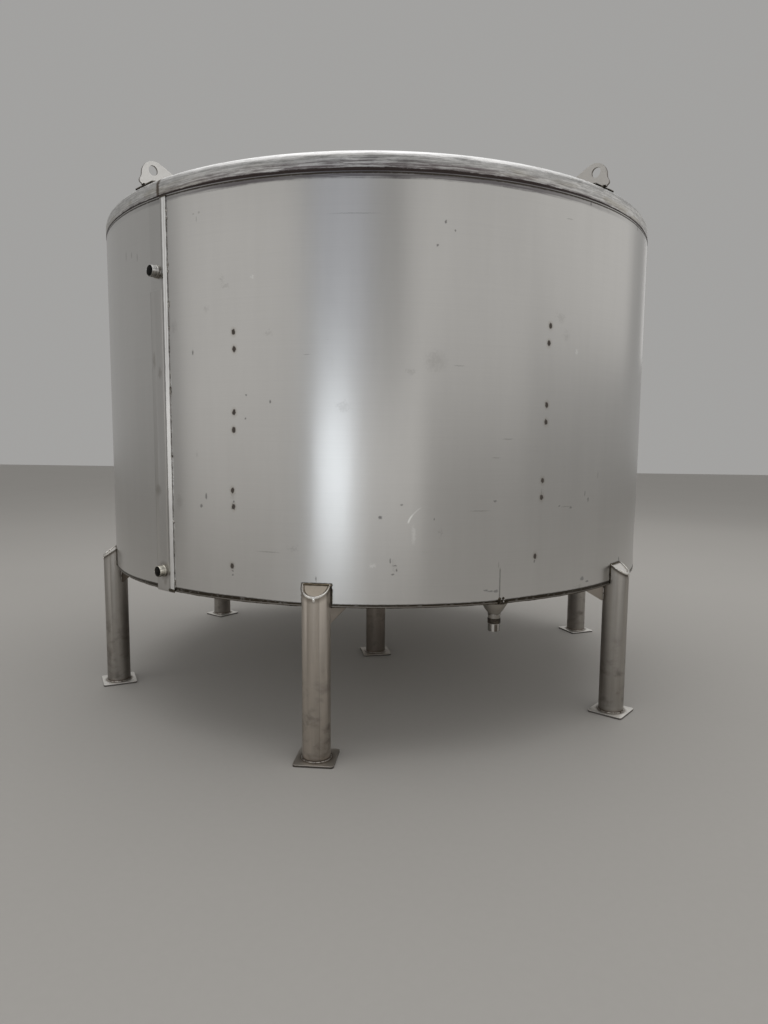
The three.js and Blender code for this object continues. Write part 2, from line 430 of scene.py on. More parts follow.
def leftOf(finish, turn):  # distance to the left of a line that leaves the axis at this turn
    return finish.y * cos(radians(turn)) - finish.x * sin(radians(turn))


def span(one, other):
    return (one * one + other * other) ** 0.5


def fromAxis(finish):
    return span(finish.x, finish.y)


def legWay(finish):  # place beside the nearest ring leg: outwards of it and sideways
    turn = finish.reckon("ARCTAN2", finish.y, finish.x)
    fold = (turn + 4 * pi) % (pi / 3) - pi / 6
    radius = fromAxis(finish)
    return radius * finish.reckon("COSINE", fold) - tank["legRing"], radius * finish.reckon("SINE", fold)


def spots(finish, places, across, up):  # distance from the nearest of the marks, 1 at its edge
    nearest = None
    for turn, height, wide, tall in places:
        sideways = finish.reckon("MULTIPLY_ADD", across, 1 / wide, -along(turn) / wide)
        upwards = finish.reckon("MULTIPLY_ADD", up, 1 / tall, -height / tall)
        squared = finish.reckon("MULTIPLY_ADD", sideways, sideways, upwards * upwards)
        nearest = squared if nearest is None else nearest.least(squared)
    return nearest ** 0.5


print("finishes")

shellLook = {
    "colour": (0.6, 0.592, 0.578),
    "roughness": 0.25,
    "front": -81,  # middle of the dark haze at the top
    "thickTint": -78,  # middle of the two stretches where the tint at the bottom is wider
    "bottomTint": (0.781, 0.774),
    "rimTint": ((2.7535, 2.7565), (2.763, 2.762)),
    "rimHaze": (2.729, 2.743),
    "burn": (0.0105, 0.014),  # half width and half height of a burn mark
    "burns": [  # turn and height, in two leaning columns of pairs
        (-103.7, 2.07), (-103.6, 1.99), (-103.8, 1.69), (-103.9, 1.605), (-104.3, 1.31), (-104.15, 1.23),
        (-104.6, 0.935), (-51.9, 2.125), (-52.1, 2.04), (-52.2, 1.74), (-52.25, 1.655), (-52.6, 1.365),
        (-52.7, 1.28), (-53.7, 0.985)],
    "specks": [  # turn, height, half width and half height
        (-111.9, 1.985, 0.005, 0.013), (-97.4, 1.74, 0.005, 0.009), (-101.6, 1.77, 0.005, 0.005),
        (-101.7, 1.66, 0.005, 0.005), (-109.6, 1.275, 0.006, 0.017), (-110.7, 1.225, 0.008, 0.01),
        (-80.1, 1.197, 0.01, 0.009), (-76.8, 1.257, 0.008, 0.004), (-90.1, 0.896, 0.003, 0.014),
        (-61.6, 1.27, 0.01, 0.005), (-71.7, 1.187, 0.005, 0.006), (-48.7, 1.232, 0.007, 0.005),
        (-45.9, 1.22, 0.011, 0.006), (-42.2, 1.29, 0.005, 0.015), (-41.2, 1.255, 0.008, 0.013),
        (-78.5, 0.99, 0.003, 0.013), (-77.8, 0.966, 0.011, 0.003), (-77.5, 0.944, 0.004, 0.01),
        (-78.1, 0.924, 0.008, 0.004),
        (-42.1, 0.833, 0.016, 0.012), (-40.6, 0.813, 0.016, 0.005), (-104.1, 1.256, 0.005, 0.005),
        (-104.5, 0.909, 0.005, 0.004), (-104.5, 0.889, 0.007, 0.005), (-53.8, 0.96, 0.005, 0.008),
        (-70.6, 2.555, 0.004, 0.008), (-69.1, 2.52, 0.004, 0.005), (-71.8, 2.45, 0.005, 0.006),
        (-43.4, 2.75, 0.005, 0.01), (-25.2, 2.748, 0.006, 0.012), (-28.3, 0.887, 0.01, 0.014),
        (-62.9, 0.831, 0.013, 0.005), (-62.1, 0.825, 0.018, 0.0045), (-61.1, 0.824, 0.014, 0.007)],
    "smudges": [
        (-105.7, 2.32, 0.009, 0.023), (-105.0, 2.287, 0.022, 0.011), (-109.0, 2.19, 0.017, 0.013),
        (-116.2, 2.12, 0.02, 0.03), (-97.6, 2.055, 0.02, 0.01), (-75.6, 1.88, 0.022, 0.011),
        (-71.8, 1.925, 0.046, 0.046), (-49.7, 2.17, 0.026, 0.024), (-48.4, 2.085, 0.02, 0.024),
        (-93.8, 1.04, 0.022, 0.014), (-85.8, 1.715, 0.03, 0.022), (-111.4, 1.485, 0.009, 0.013),
        (-77.9, 0.98, 0.006, 0.024), (-77.6, 0.946, 0.014, 0.01), (-70.6, 1.125, 0.007, 0.028),
        (-43.2, 0.796, 0.034, 0.007), (-104.2, 1.28, 0.012, 0.02), (-115.8, 1.24, 0.024, 0.04),
        (-38.5, 2.744, 0.02, 0.006), (-41.0, 2.742, 0.016, 0.005)],
    "hairlines": [
        (-110.6, 2.617, 0.004, 0.016), (-111.2, 2.643, 0.008, 0.005), (-110.0, 2.645, 0.008, 0.006),
        (-131.3, 2.54, 0.007, 0.03), (-128.9, 2.53, 0.007, 0.02), (-126.7, 2.51, 0.006, 0.024),
        (-84.2, 2.582, 0.13, 0.0025), (-91.4, 1.955, 0.019, 0.003), (-61.6, 1.48, 0.027, 0.003),
        (-98.0, 1.017, 0.07, 0.003), (-64.2, 1.224, 0.06, 0.003), (-59.6, 1.57, 0.034, 0.003),
        (-47.1, 1.227, 0.04, 0.003), (-38.4, 1.382, 0.005, 0.022), (-52.7, 1.308, 0.003, 0.018),
        (-60.7, 0.954, 0.003, 0.02), (-68.1, 1.91, 0.03, 0.003), (-48.4, 2.647, 0.028, 0.003)],
    "rubs": [(-81.2, 0.965, 0.019, 0.01), (-74.9, 1.115, 0.009, 0.046),
             (-100.2, 2.318, 0.01, 0.008), (-45.7, 2.012, 0.01, 0.014)],
    "scribe": (-60.4, 0.783, 0.945),
    "scratch": (-75.17, 1.207, 0.81, 8.3, 0.042),  # turn and height of its middle, lean, bend, half height
}


def finishShell():
    look = shellLook
    steel = Finish("rolledSheet")
    arc = roundTank(steel)
    ragged = steel.noise(90, detail=2) - 0.5
    frayed = steel.noise(90, detail=2, shift=(4, 1, 2)) - 0.5

    def marks(places, aside, up):  # with ragged edges
        return spots(steel, places, arc + ragged * aside, steel.z + frayed * up)

    near = marks([(*burn, *look["burn"]) for burn in look["burns"]], 0.012, 0.012)
    core, halo = near.ease(1.22, 0.75), near.ease(2.3, 1.0)
    speck = marks(look["specks"], 0.01, 0.012).ease(1.3, 0.5)
    smudge = marks(look["smudges"], 0.06, 0.06).ease(1.5, 0.2)
    hairline = marks(look["hairlines"], 0.006, 0.006).ease(1.2, 0.4)
    rub = marks(look["rubs"], 0.03, 0.03).ease(1.3, 0.4)
    turn, low, high = look["scribe"]
    inScribe = steel.z.ease(low, low + 0.01) * steel.z.ease(high, high - 0.02)
    scribe = abs(arc - along(turn) + ragged * 0.003).ease(0.005, 0.001) * inScribe
    turn, middle, lean, bend, half = look["scratch"]
    upwards = steel.z - middle
    sidestep = upwards * (upwards * bend + lean) - arc + along(turn)
    scratch = abs(sidestep).ease(0.007, 0.002) * abs(upwards).ease(half, half * 0.7)
    scratch = scratch * (upwards.ease(0.01, -0.008) * 0.6 + 0.4)

    sideways = legWay(steel)[1]
    blotch = steel.noise(45, detail=4, rough=0.6)
    fringe = blotch.wander(0.016)
    side, legTop = tank["weldSide"], tank["legTop"]
    besideLeft = abs(sideways + side + fringe).ease(0.009, 0.003)
    besideRight = abs(sideways - (side + 0.0013) + fringe).ease(0.009, 0.003)
    sideTint = besideLeft.most(besideRight) * steel.z.ease(legTop + 0.007, legTop - 0.003)
    overTint = abs(steel.z - (legTop + 0.0005) + fringe * 0.5).ease(0.008, 0.002)
    overTint = overTint * abs(sideways).ease(side + 0.0088, side + 0.0008)
    beside = abs(arc - along(look["thickTint"]))
    thick = beside.ease(0.45, 0.8) * beside.ease(1.75, 1.25)
    bottomTint = (steel.z + fringe * 0.4 - thick * 0.007).ease(*look["bottomTint"])
    rise, fall = look["rimTint"]
    rimTint = (steel.z + fringe * 0.3).ease(*rise) * steel.z.ease(*fall)
    front = abs(arc - along(look["front"])).ease(1.6, 0.6)
    broken = steel.noise(26, stretch=(1, 1, 0.5), shift=(9, 4, 2)).ease(0.38, 0.58)
    coverStart, lapStart, lapEnd = (along(turn) for turn in (tank["coverTurns"][0], *tank["lapTurns"]))
    seamTint = abs(arc - lapEnd - 0.0015).ease(0.004, 0.001) * broken
    # painted reflection: the shell between the edge of the cover strip and the lap is a little darker
    darkerReflection = (arc - coverStart).ease(-0.004, 0.004) * (arc - lapStart).ease(0.004, -0.004)
    tint = sideTint.most(overTint).most(bottomTint).most(rimTint * 0.9).most(seamTint * 0.45)
    tint = (tint * (blotch.ease(0.2, 0.5) * 0.35 + 0.65)).least(1.0)

    cloud = steel.noise(1.1, stretch=(1, 1, 0.5), bend=0.6)
    rolled = steel.noise(9, stretch=(0.35, 0.35, 14), detail=5, rough=0.65)
    lines = steel.noise(5, stretch=(0.3, 0.3, 60), detail=4, rough=0.7, shift=(7, 2, 0))
    hung = steel.noise(14, stretch=(1, 1, 0.09), detail=4, rough=0.6)
    column = steel.noise(3.2, stretch=(1, 1, 0.16), detail=2)
    rimHaze = (steel.z + rolled.wander(0.03) + fringe * 0.4).ease(*look["rimHaze"]) * (front * 0.8 + 0.12)
    value = cloud * 0.12 + rolled * 0.05 + lines * 0.07 + hung * 0.08 + column * 0.06 + 0.81 - darkerReflection * 0.05
    colour = steel.paint(
        steel.shade(look["colour"], value),
        (smudge * blotch.ease(0.2, 0.6) * 0.22, (0.22, 0.21, 0.195)),
        (rimHaze * (rolled.ease(0.3, 0.6) * 0.35 + 0.65), (0.12, 0.11, 0.118)),
        (halo * 0.22, (0.3, 0.25, 0.18)),
        ((rub * 0.35).most(scratch * 0.9), (0.9, 0.9, 0.89)),
        (tint, (0.05, 0.042, 0.032)),
        (hairline * 0.35, (0.2, 0.19, 0.18)),
        (scribe * 0.65, (0.13, 0.125, 0.12)),
        (speck * 0.55, (0.06, 0.055, 0.048)),
        (core * 0.95, (0.06, 0.046, 0.036)))
    soot = core.most(speck * 0.7)
    roughness = look["roughness"] + rolled * 0.05 + hung * 0.03 + tint * 0.15 + soot * 0.35
    height = cloud * 0.6 + rolled * 0.012 + column * 0.07 - core * 0.01
    return steel.close(colour, roughness, (height, 0.012, 0.35), 1 - soot * 0.75, 0.5, 0.25)


lapLook = {
    "colour": (0.5, 0.49, 0.475),
    "ground": (0.87, 0.87, 0.865),
    "groove": (1.75, 2.15),
    # heights of a painted highlight band on the lap
    "bright": ((1.15, 1.35), (1.95, 1.65)),
    "ends": ((0.772, 0.757), (2.752, 2.764)),
}


def finishLap():  # the overlap edge, ground bright
    look = lapLook
    steel = Finish("lapSteel")
    streak = steel.noise(20, stretch=(1, 1, 0.06), detail=4, rough=0.6)
    ripple = steel.noise(55, stretch=(1, 1, 0.35))
    fromEnd = roundTank(steel) - along(tank["lapTurns"][1])
    edge = fromEnd.ease(-0.003, -0.0005) * ripple.ease(0.4, 0.62) * 0.45
    groove = abs(fromEnd + 0.013).ease(0.004, 0.001) * steel.z.ease(*look["groove"]) * 0.4
    low, high = (steel.z.ease(*end) for end in look["ends"])
    # painted highlight: the lap is lighter and glossier between these heights
    rise, fall = (steel.z.ease(*end) for end in look["bright"])
    bright = rise * fall
    ground = (fromEnd + 0.03 + ripple.wander(0.006)).ease(-0.0015, 0.0015)
    colour = steel.paint(look["colour"], (ground, look["ground"]))
    colour = steel.shade(colour, streak * 0.22 + bright * 0.16 + 0.8)
    colour = steel.paint(colour, (edge.most(groove).most(low.most(high) * 0.85), (0.12, 0.105, 0.085)))
    roughness = streak * 0.16 + edge * 0.15 + 0.22 - bright * 0.04
    return steel.close(
        colour, roughness, (ripple * 0.0006 - fromEnd * ground * 0.2, 1.0, 1.0), grain=0.3, grainTurn=0.25)


coverLook = {
    "colour": (0.555, 0.545, 0.53),
    "smudges": [
        (-121.6, 1.965, 0.012, 0.04), (-120.0, 1.9, 0.012, 0.03), (-121.4, 1.29, 0.026, 0.028),
        (-120.0, 0.806, 0.012, 0.02)],
}


def finishCover():  # the narrow sheet beside the overlap
    steel = Finish("coverSheet")
    arc = roundTank(steel)
    cloud = steel.noise(2.4)
    hung = steel.noise(30, stretch=(1, 1, 0.07), detail=4, rough=0.6)
    frayed = steel.noise(60).wander(0.03)
    pipe = (tank["pipeTurn"], tank["pipeHeights"]["Lower"])
    heat = spots(steel, [(*pipe, 0.052, 0.052)], arc, steel.z).ease(1.2, 0.7)
    smudge = spots(steel, coverLook["smudges"], arc + frayed, steel.z + frayed).ease(1.5, 0.3)
    edges = (arc - along(tank["coverTurns"][0] + 0.05)).ease(0.004, 0.001).most(steel.z.ease(0.768, 0.756))
    dark = (edges * 0.15).most(heat * 0.4).most(smudge * 0.35)
    colour = steel.paint(
        steel.shade(coverLook["colour"], cloud * 0.1 + hung * 0.08 + 0.86),
        (dark * (hung * 0.8 + 0.5).least(1.0), (0.15, 0.125, 0.095)))
    roughness = cloud * 0.05 + hung * 0.06 + heat * 0.12 + 0.26
    return steel.close(colour, roughness, (cloud * 0.5 + hung * 0.02, 0.01, 0.3), grain=0.5, grainTurn=0.25)


headLook = {
    "colour": (0.66, 0.655, 0.645),
    "joint": -119.56,
    "front": 1.095,  # metres round from the joint to the middle of the darker grinding
    "weldFront": 1.12,
    "band": (1.7, 1.735),
    "weldHeat": (2.776, 2.771),
    "haze": (2.802, 2.774),
    # heights of the painted highlight along the top of the rolled edge
    "topHighlight": (2.846, 2.862),
}


def finishHead():  # ground band on the rolled edge, plain sheet on the cone
    look = headLook
    steel = Finish("groundHead")
    turn = steel.reckon("ARCTAN2", steel.y, steel.x)  # arc is measured from the joint, all the way round
    arc = (turn + (4 * pi - radians(look["joint"]))) % (2 * pi) * tank["rimRadius"]
    radius = fromAxis(steel)
    band = radius.ease(*look["band"])
    way = steel.node("CombineXYZ", inputs={0: arc, 1: radius, 2: steel.z})
    scratch = steel.noise(6, stretch=(1, 9, 26), detail=6, rough=0.72, bend=0.3, place=way)
    mottle = steel.noise(20, stretch=(1, 2, 2.4), detail=5, rough=0.68, bend=0.6, place=way)
    dab = steel.noise(3.2, stretch=(1, 2, 7), detail=4, bend=0.8, place=way)
    nick = steel.noise(14, stretch=(1, 3, 14), rough=0.6, place=way, shift=(3, 1, 5)).ease(0.62, 0.69)
    joint = arc.least(2 * pi * tank["rimRadius"] - arc) + mottle.wander(0.012)
    joint = joint.ease(0.018, 0.004) * band
    front = abs(arc - look["front"]).ease(0.75, 0.25)
    weldFront = abs(arc - look["weldFront"]).ease(1.45, 0.65)
    low = steel.z + mottle.wander(0.012) + dab.wander(0.01) - weldFront * 0.006
    weldHeat = low.ease(*look["weldHeat"]) * band
    haze = (low - weldFront * 0.012).ease(*look["haze"]) * band
    tanned = dab.ease(0.48, 0.62) * steel.z.ease(2.835, 2.805) * band * (1 - front)
    # painted highlight: a near-white line along the top of the rolled edge
    topHighlight = (steel.z + scratch.wander(0.012) + front * 0.008).ease(*look["topHighlight"]) * band
    grey = scratch.ease(0.38, 0.62) * (front * 0.22 + 0.32) + mottle.ease(0.3, 0.7) * 0.24
    grey = grey + dab.ease(0.35, 0.65) * (front * 0.1 + 0.12) + 0.57 - front * 0.27
    colour = steel.paint(
        steel.shade(look["colour"], 1 - band + band * grey),
        (topHighlight * 0.85, (0.95, 0.95, 0.95)),
        (tanned * 0.4, (0.33, 0.3, 0.22)),
        (nick * band * 0.6, (0.13, 0.11, 0.1)),
        (haze * scratch.ease(0.62, 0.38) * (weldFront * 0.45 + 0.45), (0.17, 0.14, 0.145)),
        (joint * 0.92, (0.11, 0.085, 0.065)),
        (weldHeat * (scratch.ease(0.25, 0.5) * 0.3 + 0.68), (0.05, 0.038, 0.036)))
    cloud = steel.noise(1.6, detail=4)
    roughness = cloud * 0.08 + 0.28 + band * (mottle * 0.26 - 0.06) + weldHeat * 0.15
    return steel.close(colour, roughness, (scratch * 0.7 + mottle * 0.6 + dab * 0.4, 0.0022, 0.6), grain=0.3)


bottomLook = {
    "colour": (0.5, 0.49, 0.475),
    "roughness": 0.33,
}


def finishBottom():
    steel = Finish("bottomSheet")
    radius = fromAxis(steel)
    cloud = steel.noise(2.0, detail=4, rough=0.6)
    grain = steel.noise(30, stretch=(1, 0.08, 1), detail=4)
    # heat tint around the legs; the dark ring at the disc's edge is partly weld tint and partly painted shade
    # under the shell
    heat = span(*legWay(steel)).least(radius).ease(0.125, 0.075).most(radius.ease(1.735, 1.765))
    colour = steel.paint(
        steel.shade(bottomLook["colour"], cloud * 0.2 + grain * 0.12 + 0.8),
        (heat * 0.75, (0.13, 0.11, 0.085)))
    roughness = cloud * 0.12 + grain * 0.05 + bottomLook["roughness"]
    return steel.close(colour, roughness, (grain * 0.1 + cloud, 0.002, 0.3))


tubeLook = {
    "colour": (0.535, 0.482, 0.426),
    # painted shade: tubes of the legs at the sides are painted darker and greyer
    "sideLightingColour": (0.425, 0.402, 0.372),
    "roughness": 0.25,
    "seam": 0.03,  # how far the tube's own seam is from its middle line
    "toe": (0.025, 0.0215),
}


def finishTube():  # leg tube, drawn lengthways, smudged and a little brown
    steel = Finish("legTube")
    outwards, sideways = legWay(steel)
    drawn = steel.noise(34, stretch=(1, 1, 0.045), detail=5, rough=0.65)
    broad = steel.noise(11, stretch=(1, 1, 0.12), shift=(2, 5, 1))
    smudge = steel.noise(12, stretch=(1, 1, 1.3), bend=0.2, shift=(1, 3, 7))
    ring = steel.noise(5, stretch=(0.3, 0.3, 9))
    underRim = mitreHeight(fromAxis(steel)) - steel.z
    capHeat = underRim.ease(0.032, 0.006) * outwards.ease(-0.05, 0.0)
    footHeat = (steel.z + smudge.wander(0.02)).ease(0.04, 0.014) * 0.5
    toe = steel.z.ease(*tubeLook["toe"]) * 0.8
    dirt = smudge.ease(0.46, 0.76) * steel.z.ease(0.6, 0.25) * 0.55
    shaded = outwards.ease(-0.01, -0.052) * 0.55
    film = steel.noise(3.5, stretch=(1, 1, 0.7), shift=(6, 1, 2)).ease(0.42, 0.6) * steel.z.ease(0.6, 0.2)
    # legs past a metre to either side take the painted-shade colour
    aside = abs(steel.x).ease(1.0, 1.4)
    seam = abs(sideways - tubeLook["seam"]).ease(0.0035, 0.001) * outwards.ease(0.03, 0.05) * 0.35
    colour = steel.paint(tubeLook["colour"], (aside, tubeLook["sideLightingColour"]))
    colour = steel.paint(
        steel.shade(colour, drawn * 0.44 + broad * 0.5 + ring * 0.06 + 0.44),
        (film * 0.12, (0.25, 0.205, 0.165)),
        (dirt, (0.12, 0.105, 0.09)),
        (shaded, (0.1, 0.08, 0.065)),
        (seam, (0.22, 0.2, 0.18)),
        (footHeat.most(toe), (0.12, 0.09, 0.07)),
        (capHeat * 0.62, (0.17, 0.145, 0.115)),
        # dark band just under the cap's bead on the side legs: heat tint with a painted shadow of the bead
        (underRim.ease(0.017, 0.011) * aside * 0.6, (0.06, 0.05, 0.04)))
    roughness = drawn * 0.12 + broad * 0.08 + dirt * 0.3 + footHeat * 0.1 + tubeLook["roughness"]
    return steel.close(colour, roughness, (drawn * 0.3 + broad, 0.0012, 0.4), grain=0.5)


footLook = {
    "colour": (0.55, 0.51, 0.46),
    # painted light: plates of the legs at the sides are painted much lighter
    "sideLightingColour": (0.94, 0.92, 0.88),
    "roughness": 0.34,
    "weldEdge": 0.0785,
    # heights of the painted contact shadow along the plate's lower edges
    "under": (0.0106, 0.0092),
}


def finishFoot():
    steel = Finish("footPlate")
    near = span(*legWay(steel)).least(fromAxis(steel))
    mottle = steel.noise(28, detail=5, rough=0.65)
    cloud = steel.noise(7, detail=4, bend=0.6)
    dust = steel.noise(120, detail=2).ease(0.5, 0.75)
    heat = (near + mottle.wander(0.012)).ease(0.096, 0.078)
    groove = abs(near - footLook["weldEdge"]).ease(0.0035, 0.001)
    # painted contact shadow: the lower part of the plate's edges turns near black
    under = steel.z.ease(*footLook["under"])
    # past a metre to either side the plates take the painted-light colour
    aside = abs(steel.x).ease(1.0, 1.5)
    colour = steel.paint(footLook["colour"], (aside, footLook["sideLightingColour"]))
    colour = steel.paint(
        steel.shade(colour, cloud * 0.26 + mottle * 0.16 + 0.74),
        (dust * 0.18, (0.42, 0.39, 0.35)),
        ((heat * 0.45).most(groove * 0.8), (0.15, 0.115, 0.085)),
        (under * 0.85, (0.06, 0.052, 0.045)))
    roughness = cloud * 0.14 + mottle * 0.1 + footLook["roughness"]
    return steel.close(colour, roughness, (mottle + dust * 0.3, 0.0012, 0.5), 1 - dust * 0.25)


capLook = {
    "colour": (0.49, 0.435, 0.365),
    # painted light: caps of the legs at the sides are painted near white
    "sideLightingColour": (0.98, 0.955, 0.92),
    "roughness": 0.38,
    "line": 0.0565,
    "edge": (0.06, 0.064),
}


def finishCap():
    steel = Finish("legCap")
    mottle = steel.noise(60, detail=5, rough=0.6)
    cloud = steel.noise(16)
    outwards, sideways = legWay(steel)
    away = span(outwards, sideways) + mottle.wander(0.004)
    line = abs(away - capLook["line"]).ease(0.004, 0.0012).most(away.ease(*capLook["edge"])) * 0.85
    wall = (outwards + mottle.wander(0.01)).ease(0.001, -0.004)
    # caps of the legs at the sides take the painted-light colour, and their dark lines are fainter, most on
    # the left
    aside, left = abs(steel.x).ease(1.0, 1.4), steel.x.ease(-1.0, -1.4)
    far = (sideways * (left * -2 + 1)).ease(0.0, 0.025) * aside
    dark = (line * (1 - far * 0.8)).most(wall * 0.9) * (1 - aside * 0.3 - left * 0.4)
    colour = steel.paint(capLook["colour"], (aside, capLook["sideLightingColour"]))
    colour = steel.shade(colour, cloud * 0.2 + mottle * 0.14 + 0.76)
    colour = steel.paint(colour, (dark, (0.085, 0.068, 0.05)))
    roughness = mottle * 0.12 + cloud * 0.08 + capLook["roughness"]
    return steel.close(colour, roughness, (mottle, 0.0008, 0.4))


def finishPlate(name, colour, heatTop=None, turns=()):  # cut plate of gussets, lugs and pads
    steel = Finish(name)
    mottle = steel.noise(26, detail=5, rough=0.65)
    cloud = steel.noise(6, bend=0.5)
    scratch = steel.noise(30, stretch=(1, 1, 6), detail=4, rough=0.7)
    stain = mottle.ease(0.58, 0.74) * 0.3
    if heatTop:
        stain = stain.most(steel.z.ease(*heatTop) * 0.75)
    for turn in turns:  # the cut edge is darker than the two faces
        stain = stain.most(abs(leftOf(steel, turn)).ease(0.0056, 0.0046) * 0.8)
    colour = steel.paint(
        steel.shade(colour, cloud * 0.18 + mottle * 0.14 + scratch * 0.06 + 0.8),
        (stain, (0.13, 0.105, 0.095)))
    return steel.close(colour, mottle * 0.14 + cloud * 0.1 + 0.34, (mottle + scratch * 0.3, 0.001, 0.45))


nozzleLook = {
    # painted reflection: the lower pipe is painted brighter and yellower than the upper
    "lowerReflectionColour": (0.9, 0.87, 0.77),
    "upperColour": (0.82, 0.815, 0.8),
    "roughness": 0.13,
    "bore": (0.0272, 0.0266),
    "base": (1.785, 1.775),
}


def finishNozzle():  # turned pipe end, with painted shade in the bore and on its underside, darker where it meets the tank; the lower pipe is painted brighter as a reflection
    steel = Finish("turnedPipe")
    high, low = tank["pipeHeights"].values()
    level = abs(steel.z - high).least(abs(steel.z - low))
    # painted shade inside the bore
    bore = span(leftOf(steel, tank["pipeTurn"]), level).ease(*nozzleLook["bore"])
    ring = steel.noise(40, detail=4, rough=0.6)
    base = (leftOf(steel, tank["pipeTurn"] - 90) + ring.wander(0.006)).ease(*nozzleLook["base"])
    upper = steel.z.ease(1.5, 1.7)
    # painted shade on the underside of each pipe
    under = steel.z.ease(high + 0.005, high - 0.017) * upper
    under = under.most(steel.z.ease(low + 0.002, low - 0.02))
    colour = steel.paint(nozzleLook["lowerReflectionColour"], (upper, nozzleLook["upperColour"]))
    colour = steel.paint(
        steel.shade(colour, ring * 0.24 + 0.76),
        (base * 0.35, (0.3, 0.27, 0.22)),
        (under * 0.75, (0.16, 0.145, 0.12)),
        (bore * 0.9, (0.022, 0.02, 0.018)))
    roughness = ring * 0.16 + base * 0.14 + bore * 0.4 + nozzleLook["roughness"]
    return steel.close(colour, roughness, (ring, 0.0006, 0.3), 1 - bore * 0.6)


drainLook = {
    "colour": (0.86, 0.85, 0.83),
    "dullColour": (0.34, 0.32, 0.29),
    "dull": (0.64, 0.645),
    "roughness": 0.06,
}


def finishDrain():  # polished below the collar, dull above it
    steel = Finish("drainPipe")
    ring = steel.noise(40, stretch=(0.4, 0.4, 1), detail=4, rough=0.6)
    dull = steel.z.ease(*drainLook["dull"])
    x, y, _ = polar(*tank["drain"])
    sideways = steel.x - x  # of the painted highlight lines on the pipe's front
    # painted highlight: two upright lines on the front of the polished pipe are kept free of the dark streaks
    bright = abs(sideways + 0.004).ease(0.007, 0.003).most(abs(sideways - 0.021).ease(0.005, 0.002) * 0.5)
    bright = bright * steel.y.ease(y + 0.004, y - 0.004)
    # painted reflection: dark streaks on the polished part stand in for what it reflects
    streak = steel.noise(30, stretch=(1, 1, 0.03)).ease(0.35, 0.6) * 0.4 + 0.55
    colour = steel.paint(drainLook["colour"], (dull, drainLook["dullColour"]))
    colour = steel.paint(
        steel.shade(colour, ring * 0.2 + 0.82),
        (streak * (1 - dull) * (1 - bright), (0.12, 0.1, 0.08)))
    roughness = ring * 0.08 + dull * 0.25 + drainLook["roughness"]
    return steel.close(colour, roughness, (ring, 0.0006, 0.3))


def finishCollar():
    steel = Finish("darkCollar")
    burnt = steel.noise(55, detail=5, rough=0.65, bend=0.6)
    colour = steel.node("ValToRGB", {"stops": [
        (0.3, (0.02, 0.017, 0.014)), (0.52, (0.06, 0.05, 0.04)), (0.75, (0.17, 0.14, 0.11))]}, {0: burnt})
    return steel.close(colour, burnt * 0.3 + 0.32, (burnt, 0.002, 0.6), 0.85)


def finishWeld(name, light, dark, share, rough, burntAt=None, brownFrom=None):  # weld metal, bare to burnt
    steel = Finish(name)
    burnt = steel.noise(60, detail=5, rough=0.65, bend=0.5)
    fine = steel.noise(260, detail=2)
    mask = burnt.ease(0.62 - share * 0.34, 0.78 - share * 0.3)
    if burntAt is not None:
        mask = mask.most(abs(roundTank(steel) - along(burntAt)).ease(0.95, 0.45) * 0.9)
    colour = steel.paint(light, (mask, dark))
    if brownFrom is not None:
        # the top of the bead is brown, less so on the legs at the sides; the dark sides below are partly heat
        # tint and partly painted shade
        upper = steel.z.ease(brownFrom, brownFrom + 0.003) * (1 - abs(steel.x).ease(0.5, 1.2) * 0.6)
        colour = steel.paint(colour, (upper * 0.9, (0.3, 0.25, 0.175)))
    return steel.close(colour, mask * 0.25 + fine * 0.08 + rough, (fine, 0.0008, 0.5))


def finishFloor():
    ground = Finish("paleFloor")
    cloud = ground.noise(0.6)
    fleck = ground.noise(30)
    colour = ground.shade((0.535, 0.517, 0.49), cloud * 0.05 + fleck * 0.04 + 0.95)
    return ground.close(colour, 0.75, (fleck, 0.001, 0.2), 0.0)


burntMetal = ((0.105, 0.09, 0.068), (0.022, 0.018, 0.014), 0.6, 0.42)  # light, dark, share of dark, roughness
lugLines = tank["lugTurns"][2:]  # each line runs through two opposite lugs

finishes = {
    "shell": finishShell(),
    "lap": finishLap(),
    "cover": finishCover(),
    "head": finishHead(),
    "bottom": finishBottom(),
    "tube": finishTube(),
    "foot": finishFoot(),
    "cap": finishCap(),
    "gusset": finishPlate("gussetPlate", (0.42, 0.38, 0.34), (0.735, 0.758)),
    # painted shade: a dark copy of the gusset plate for the left leg's gusset
    "shadedGusset": finishPlate("shadedGusset", (0.17, 0.14, 0.115), (0.7, 0.75)),
    "lug": finishPlate("lugPlate", (0.67, 0.65, 0.62), turns=lugLines),
    # painted light: a brighter copy of the lug plate for the lug left of the front
    "litLug": finishPlate("litLug", (0.88, 0.87, 0.85), turns=lugLines[:1]),
    "pad": finishPlate("padPlate", (0.5, 0.485, 0.465)),
    "cone": finishPlate("conePlate", (0.37, 0.345, 0.31)),
    "nozzle": finishNozzle(),
    "drain": finishDrain(),
    "collar": finishCollar(),
    "brightWeld": finishWeld("brightWeld", (0.84, 0.82, 0.78), (0.26, 0.22, 0.17), 0.3, 0.17),
    "greyWeld": finishWeld("greyWeld", (0.52, 0.5, 0.47), (0.1, 0.085, 0.065), 0.5, 0.28),
    "rimWeld": finishWeld("rimWeld", (0.66, 0.64, 0.61), (0.08, 0.068, 0.066), 0.35, 0.26, burntAt=-84),
    "footWeld": finishWeld("footWeld", (0.54, 0.51, 0.47), (0.11, 0.085, 0.065), 0.5, 0.26),
    "darkWeld": finishWeld("darkWeld", *burntMetal),
    "wallWeld": finishWeld("wallWeld", *burntMetal, brownFrom=0.865),
}


print("shell")

